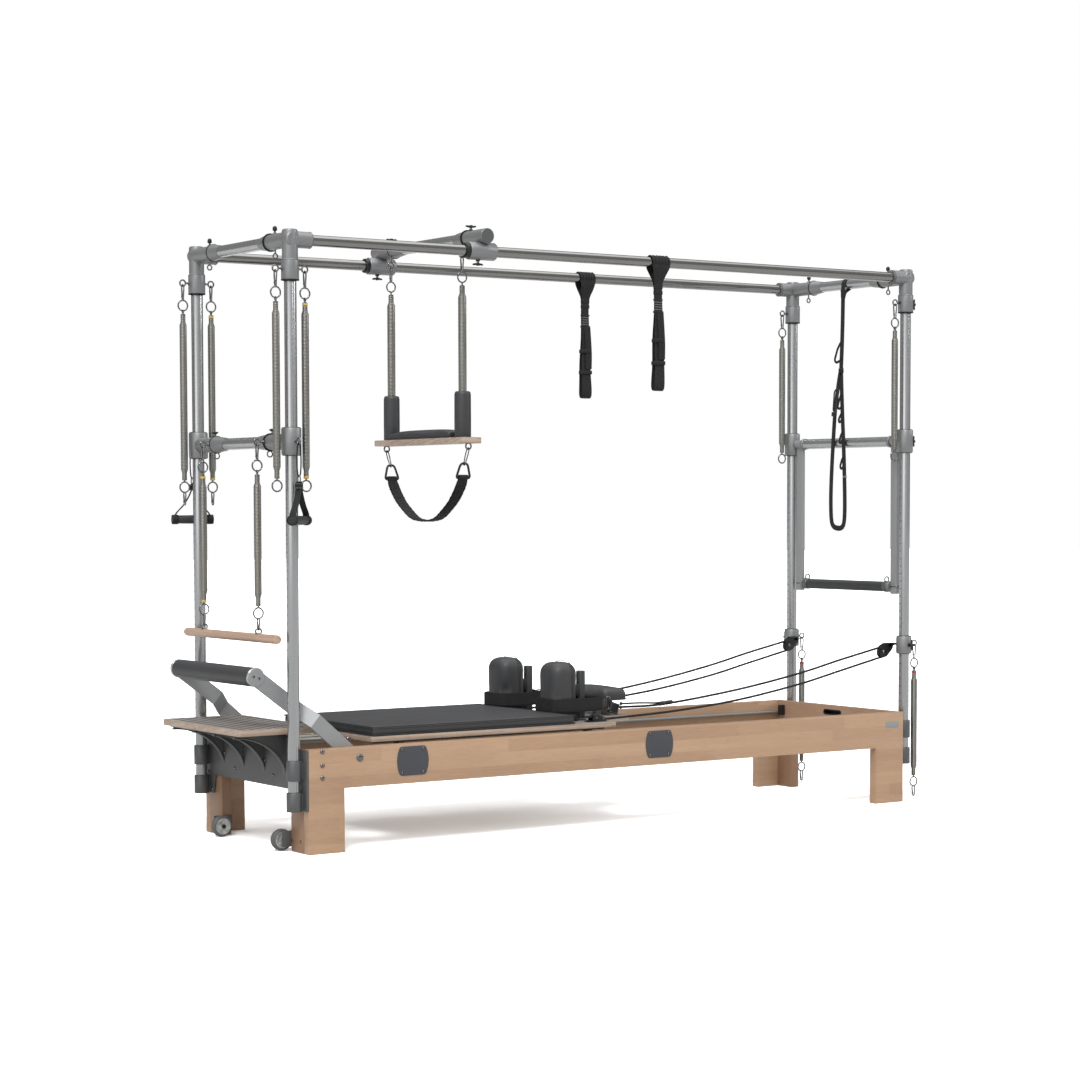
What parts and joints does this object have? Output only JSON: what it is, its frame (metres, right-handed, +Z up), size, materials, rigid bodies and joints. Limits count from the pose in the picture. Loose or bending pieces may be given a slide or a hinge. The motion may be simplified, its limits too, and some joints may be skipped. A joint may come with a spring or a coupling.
{
  "type": "pilates reformer with tower",
  "caption": "Wooden pilates reformer bed with a sliding padded carriage, folding footbar and a full steel tower with trapeze, push bar, roll bar, straps and springs.",
  "frame": {"origin": "on the floor under the middle of the whole length and width", "axes": "+X from the foot end to the head end, +Y across to the far side, +Z up"},
  "size_m": [3.0276, 0.8942, 2.1824],
  "materials": {
    "wood": "clear satin lacquer",
    "plywood": "birch plywood, satin",
    "dowel": "turned and lacquered",
    "steel": "satin",
    "dark_steel": "dark satin coat",
    "black_vinyl": "smooth upholstery",
    "black_plastic": "matte",
    "black_webbing": "woven"
  },
  "bodies": {
    "frame": {"side_frame_near": "wood", "side_frame_far": "wood", "head_end_board": "wood", "foot_end_plate": "dark_steel", "foot_platform": "plywood", "post_foot_near": "steel", "post_foot_far": "steel", "post_head_near": "steel", "post_head_far": "steel", "header_foot": "steel", "header_head": "steel", "top_rail_near": "dark_steel", "top_rail_far": "dark_steel", "loop_strap_near": "black_webbing", "loop_strap_far": "black_webbing", "long_strap": "black_webbing", "rope_near": "black_webbing", "rope_far": "black_webbing", "carriage_springs": "dark_steel"},
    "carriage": {"carriage_deck": "plywood", "carriage_pad": "black_vinyl", "strap_loop_near": "black_webbing", "strap_loop_far": "black_webbing"},
    "headrest": {"headrest": "black_vinyl"},
    "footbar": {"footbar_frame": "steel", "footbar_pad": "black_vinyl"},
    "foot_crossbar": {"foot_crossbar": "steel"},
    "roll_bar": {"roll_bar": "dowel", "roll_spring_near": "steel", "roll_spring_far": "steel"},
    "head_crossbar": {"head_crossbar": "steel"},
    "push_bar": {"push_bar": "steel"},
    "trapeze_slider": {"trapeze_slider": "steel"},
    "trapeze": {"trapeze_plank": "plywood", "trapeze_pad": "black_vinyl", "trapeze_spring_near": "steel", "trapeze_spring_far": "steel", "trapeze_sling": "black_webbing"},
    "carriage_wheel_foot_near": {"carriage_wheel_foot_near": "black_plastic"},
    "carriage_wheel_foot_far": {"carriage_wheel_foot_far": "black_plastic"},
    "carriage_wheel_head_near": {"carriage_wheel_head_near": "black_plastic"},
    "carriage_wheel_head_far": {"carriage_wheel_head_far": "black_plastic"},
    "shoulder_rest_near": {"shoulder_rest_near": "black_vinyl"},
    "shoulder_rest_far": {"shoulder_rest_far": "black_vinyl"},
    "transport_wheel_near": {"transport_wheel_near": "black_plastic"},
    "transport_wheel_far": {"transport_wheel_far": "black_plastic"},
    "handle_near": {"handle_near": "black_webbing"},
    "handle_far": {"handle_far": "black_webbing"},
    "pulley_collar_near": {"pulley_collar_near": "steel"},
    "pulley_sheave_near": {"pulley_sheave_near": "black_plastic"},
    "spring_head_near_lower": {"spring_head_near_lower": "steel"},
    "spring_foot_near_outer": {"spring_foot_near_outer": "steel"},
    "spring_foot_near_inner": {"spring_foot_near_inner": "steel"},
    "spring_head_near_upper": {"spring_head_near_upper": "steel"},
    "pulley_collar_far": {"pulley_collar_far": "steel"},
    "pulley_sheave_far": {"pulley_sheave_far": "black_plastic"},
    "spring_head_far_lower": {"spring_head_far_lower": "steel"},
    "spring_foot_far_outer": {"spring_foot_far_outer": "steel"},
    "spring_foot_far_inner": {"spring_foot_far_inner": "steel"},
    "spring_head_far_upper": {"spring_head_far_upper": "steel"}
  },
  "joints": [
    {"name": "carriage_slide", "type": "slide", "parent": "frame", "child": "carriage", "axis": [1, 0, 0], "range_m": [0, 0.9], "stiffness_N_per_m": 40, "springref_m": -0.05, "deforming": ["carriage_springs", "rope_near", "rope_far"]},
    {"name": "carriage_wheel_foot_near_spin", "type": "hinge", "parent": "carriage", "child": "carriage_wheel_foot_near", "pos_m": [-0.89885, -0.326, 0.3403], "axis": [0, 1, 0], "continuous": true},
    {"name": "carriage_wheel_foot_far_spin", "type": "hinge", "parent": "carriage", "child": "carriage_wheel_foot_far", "pos_m": [-0.89885, 0.326, 0.3403], "axis": [0, 1, 0], "continuous": true},
    {"name": "carriage_wheel_head_near_spin", "type": "hinge", "parent": "carriage", "child": "carriage_wheel_head_near", "pos_m": [-0.08885, -0.326, 0.3403], "axis": [0, 1, 0], "continuous": true},
    {"name": "carriage_wheel_head_far_spin", "type": "hinge", "parent": "carriage", "child": "carriage_wheel_head_far", "pos_m": [-0.08885, 0.326, 0.3403], "axis": [0, 1, 0], "continuous": true},
    {"name": "headrest_tilt", "type": "hinge", "parent": "carriage", "child": "headrest", "pos_m": [0.13515, 0, 0.436], "axis": [0, 1, 0], "range_deg": [-40, 0]},
    {"name": "shoulder_rest_near_lift", "type": "slide", "parent": "carriage", "child": "shoulder_rest_near", "axis": [0, 0, 1], "range_m": [0, 0.15]},
    {"name": "shoulder_rest_far_lift", "type": "slide", "parent": "carriage", "child": "shoulder_rest_far", "axis": [0, 0, 1], "range_m": [0, 0.15]},
    {"name": "footbar_tilt", "type": "hinge", "parent": "frame", "child": "footbar", "pos_m": [-1.09885, 0, 0.323], "axis": [0, 1, 0], "range_deg": [0, 80]},
    {"name": "transport_wheel_near_spin", "type": "hinge", "parent": "frame", "child": "transport_wheel_near", "pos_m": [-1.31885, -0.2245, 0.0385], "axis": [0, 1, 0], "continuous": true},
    {"name": "transport_wheel_far_spin", "type": "hinge", "parent": "frame", "child": "transport_wheel_far", "pos_m": [-1.31885, 0.2245, 0.0385], "axis": [0, 1, 0], "continuous": true},
    {"name": "foot_crossbar_slide", "type": "slide", "parent": "frame", "child": "foot_crossbar", "axis": [0, 0, 1], "range_m": [-0.09, 0.07]},
    {"name": "roll_bar_swing", "type": "hinge", "parent": "foot_crossbar", "child": "roll_bar", "pos_m": [-1.38985, 0, 1.405], "axis": [0, 1, 0], "range_deg": [0, 70]},
    {"name": "handle_near_swing", "type": "hinge", "parent": "foot_crossbar", "child": "handle_near", "pos_m": [-1.33485, -0.401, 1.405], "axis": [1, 0, 0], "range_deg": [-90, 0]},
    {"name": "handle_far_swing", "type": "hinge", "parent": "foot_crossbar", "child": "handle_far", "pos_m": [-1.33485, 0.401, 1.405], "axis": [1, 0, 0], "range_deg": [0, 90]},
    {"name": "head_crossbar_slide", "type": "slide", "parent": "frame", "child": "head_crossbar", "axis": [0, 0, 1], "range_m": [-0.14, 0.35]},
    {"name": "push_bar_swing", "type": "hinge", "parent": "head_crossbar", "child": "push_bar", "pos_m": [1.43715, 0, 1.437], "axis": [0, 1, 0], "range_deg": [-80, 100]},
    {"name": "pulley_near_slide", "type": "slide", "parent": "frame", "child": "pulley_collar_near", "axis": [0, 0, 1], "range_m": [-0.03, 0.14], "deforming": ["rope_near"]},
    {"name": "pulley_near_spin", "type": "hinge", "parent": "pulley_collar_near", "child": "pulley_sheave_near", "pos_m": [1.37115, -0.294, 0.596], "axis": [0, 1, 0], "continuous": true},
    {"name": "spring_head_near_lower_swing", "type": "hinge", "parent": "pulley_collar_near", "child": "spring_head_near_lower", "pos_m": [1.49315, -0.349, 0.63], "axis": [0, 1, 0], "range_deg": [-60, 0]},
    {"name": "spring_foot_near_outer_swing", "type": "hinge", "parent": "frame", "child": "spring_foot_near_outer", "pos_m": [-1.39085, -0.349, 1.984], "axis": [0, 1, 0], "range_deg": [0, 60]},
    {"name": "spring_foot_near_inner_swing", "type": "hinge", "parent": "frame", "child": "spring_foot_near_inner", "pos_m": [-1.27885, -0.349, 1.984], "axis": [0, 1, 0], "range_deg": [-15, 0]},
    {"name": "spring_head_near_upper_swing", "type": "hinge", "parent": "frame", "child": "spring_head_near_upper", "pos_m": [1.38115, -0.349, 1.984], "axis": [0, 1, 0], "range_deg": [0, 35]},
    {"name": "pulley_far_slide", "type": "slide", "parent": "frame", "child": "pulley_collar_far", "axis": [0, 0, 1], "range_m": [-0.03, 0.14], "deforming": ["rope_far"]},
    {"name": "pulley_far_spin", "type": "hinge", "parent": "pulley_collar_far", "child": "pulley_sheave_far", "pos_m": [1.37115, 0.294, 0.596], "axis": [0, 1, 0], "continuous": true},
    {"name": "spring_head_far_lower_swing", "type": "hinge", "parent": "pulley_collar_far", "child": "spring_head_far_lower", "pos_m": [1.49315, 0.349, 0.63], "axis": [0, 1, 0], "range_deg": [-60, 0]},
    {"name": "spring_foot_far_outer_swing", "type": "hinge", "parent": "frame", "child": "spring_foot_far_outer", "pos_m": [-1.39085, 0.349, 1.984], "axis": [0, 1, 0], "range_deg": [0, 60]},
    {"name": "spring_foot_far_inner_swing", "type": "hinge", "parent": "frame", "child": "spring_foot_far_inner", "pos_m": [-1.27885, 0.349, 1.984], "axis": [0, 1, 0], "range_deg": [-15, 0]},
    {"name": "spring_head_far_upper_swing", "type": "hinge", "parent": "frame", "child": "spring_head_far_upper", "pos_m": [1.38115, 0.349, 1.984], "axis": [0, 1, 0], "range_deg": [0, 35]},
    {"name": "trapeze_slide", "type": "slide", "parent": "frame", "child": "trapeze_slider", "axis": [1, 0, 0], "range_m": [-0.05, 0.5]},
    {"name": "trapeze_swing", "type": "hinge", "parent": "trapeze_slider", "child": "trapeze", "pos_m": [-0.58485, 0, 2.079], "axis": [0, 1, 0], "range_deg": [-35, 35]}
  ],
  "couplings": [
    {"joint": "carriage_wheel_foot_near_spin", "follows": "carriage_slide", "rad_per_m": 45.455},
    {"joint": "carriage_wheel_foot_far_spin", "follows": "carriage_slide", "rad_per_m": 45.455},
    {"joint": "carriage_wheel_head_near_spin", "follows": "carriage_slide", "rad_per_m": 45.455},
    {"joint": "carriage_wheel_head_far_spin", "follows": "carriage_slide", "rad_per_m": 45.455}
  ]
}
